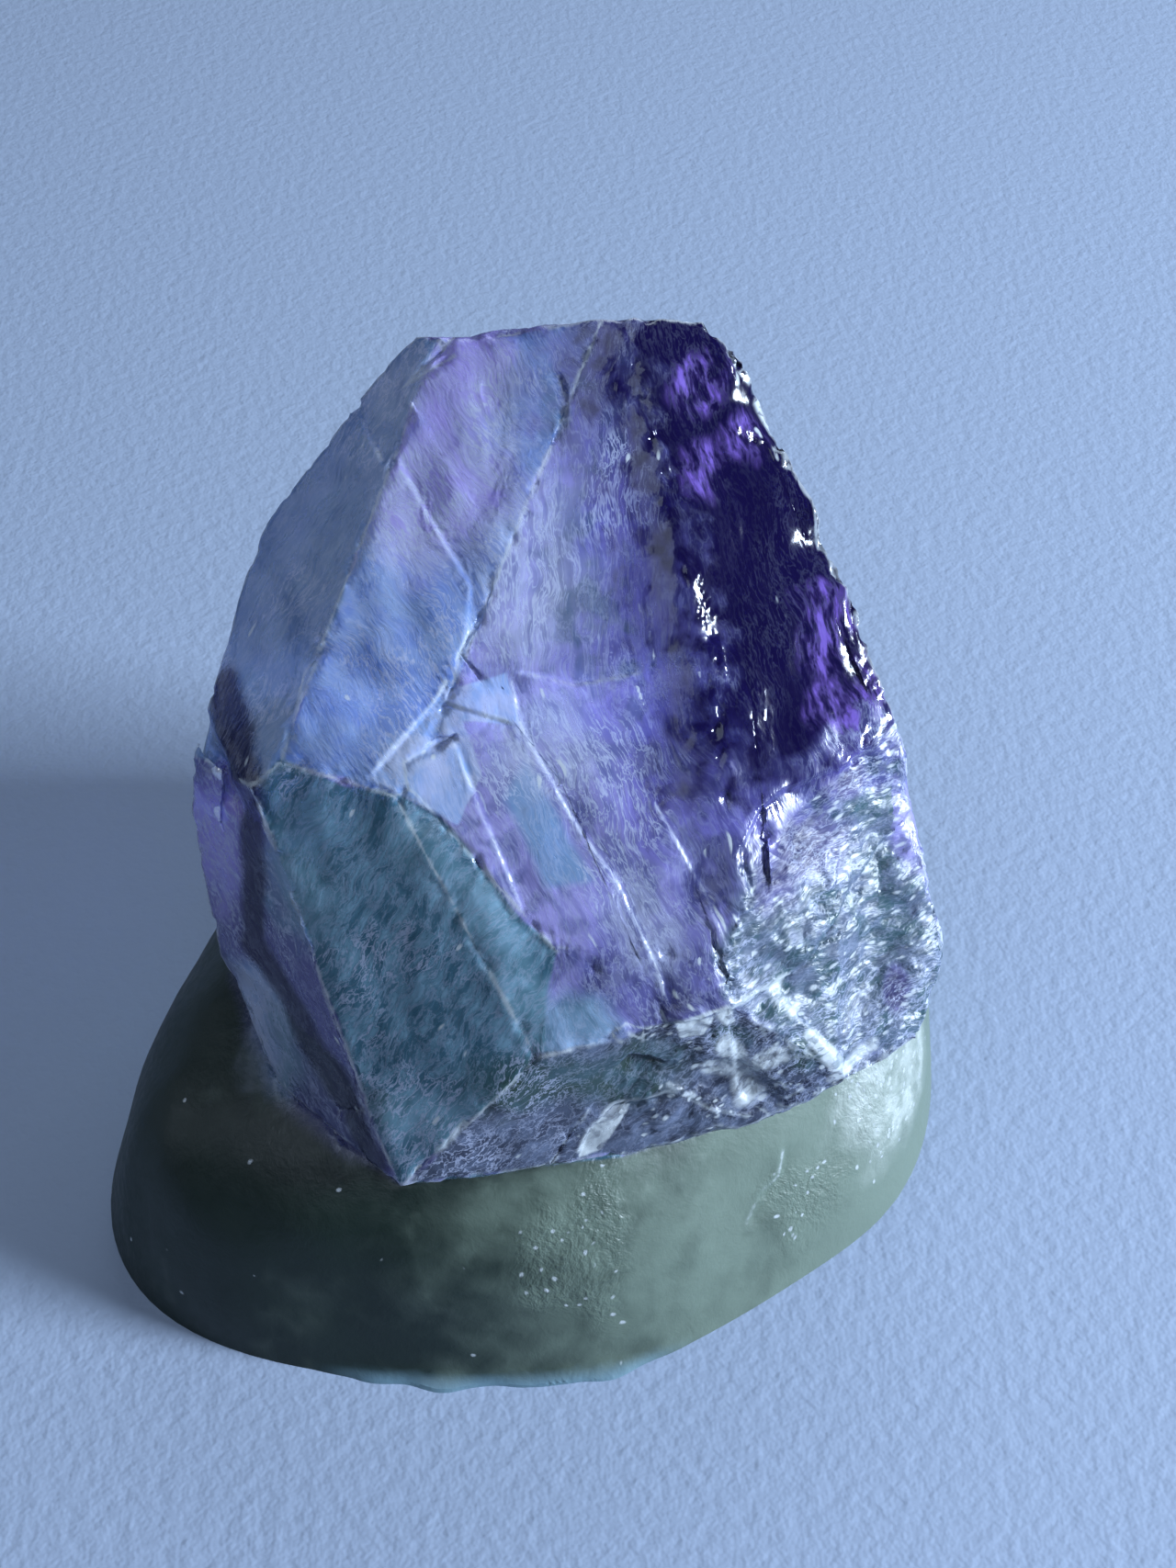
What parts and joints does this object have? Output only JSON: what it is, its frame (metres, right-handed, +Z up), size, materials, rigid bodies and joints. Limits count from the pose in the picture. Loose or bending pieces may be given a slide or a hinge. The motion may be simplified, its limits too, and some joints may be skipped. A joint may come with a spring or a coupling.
{
  "type": "rough fluorite crystal specimen",
  "caption": "Rough cleaved chunk of colour-zoned fluorite, faceted violet, blue and teal above, on a smooth rounded pale green foot with a flat base.",
  "frame": {"origin": "bottom centre of the bounding box, on the flat base", "axes": "+X to the right seen from the broad front cleavage face and along the widest extent, +Y to the back, +Z up"},
  "size_m": [0.0402, 0.0356, 0.0369],
  "materials": {
    "fluorite": "translucent, vitreous cleavage faces and a frosted worn foot"
  },
  "bodies": {
    "root": {"fluorite": "fluorite"}
  },
  "joints": []
}
